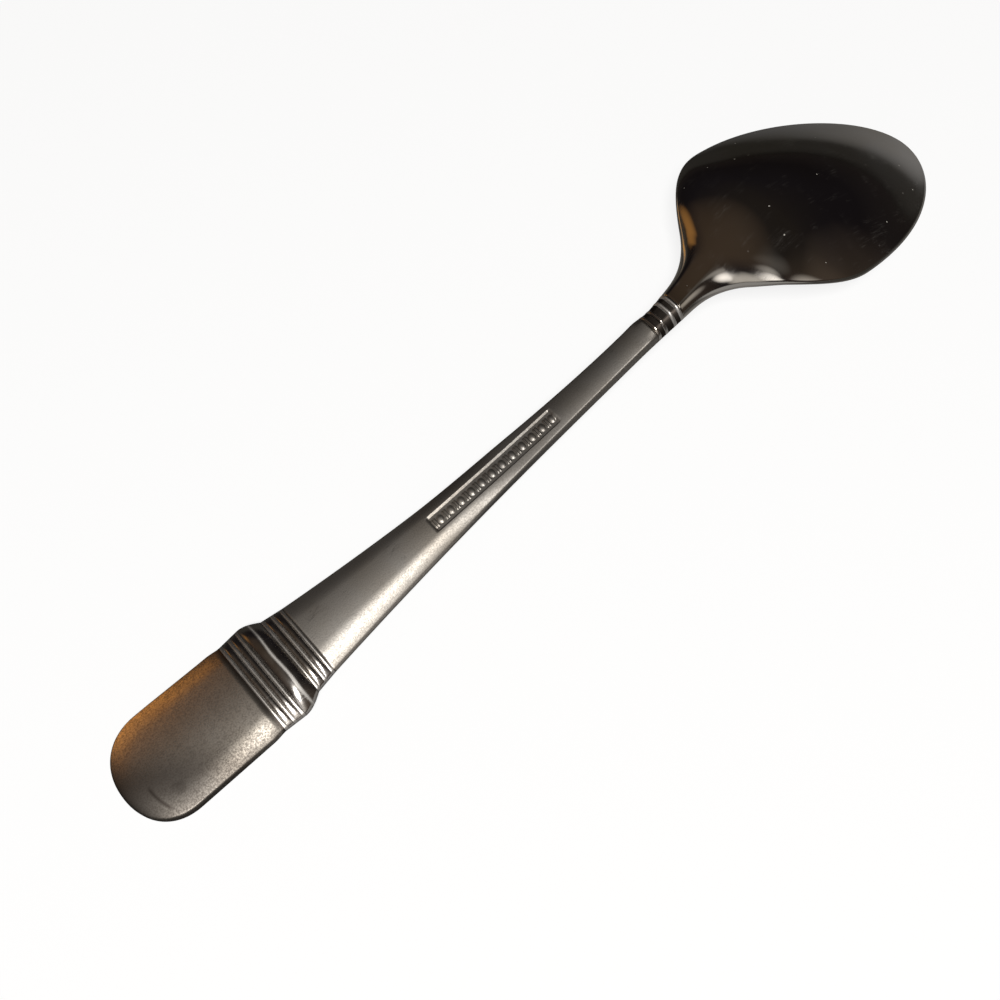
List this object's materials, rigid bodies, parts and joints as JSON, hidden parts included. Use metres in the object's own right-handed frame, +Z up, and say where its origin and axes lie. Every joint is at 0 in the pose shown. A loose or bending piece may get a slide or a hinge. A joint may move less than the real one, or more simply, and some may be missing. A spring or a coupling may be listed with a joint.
{
  "type": "teaspoon",
  "caption": "Teaspoon lying face down, with a deep oval bowl, threaded neck, slim flaring handle with a sunken panel, reeded collar and round-cornered end.",
  "frame": {"origin": "on the table under the middle of the spoon's length and width, with the spoon lying face down", "axes": "+X along the spoon towards the tip of the bowl, +Y across it, +Z up from the table, out of the back of the bowl"},
  "size_m": [0.152, 0.0326, 0.0178],
  "materials": {
    "polished_silver": "mirror-polished silver plate on nickel silver, with fine scratches and dark grooves",
    "satin_silver": "satin silver plate on nickel silver, finely grained"
  },
  "bodies": {
    "root": {"bowl": "polished_silver", "neck_band": "polished_silver", "stem": "satin_silver", "upper_band": "polished_silver", "collar": "polished_silver", "lower_band": "polished_silver", "end_tab": "satin_silver"}
  },
  "joints": []
}
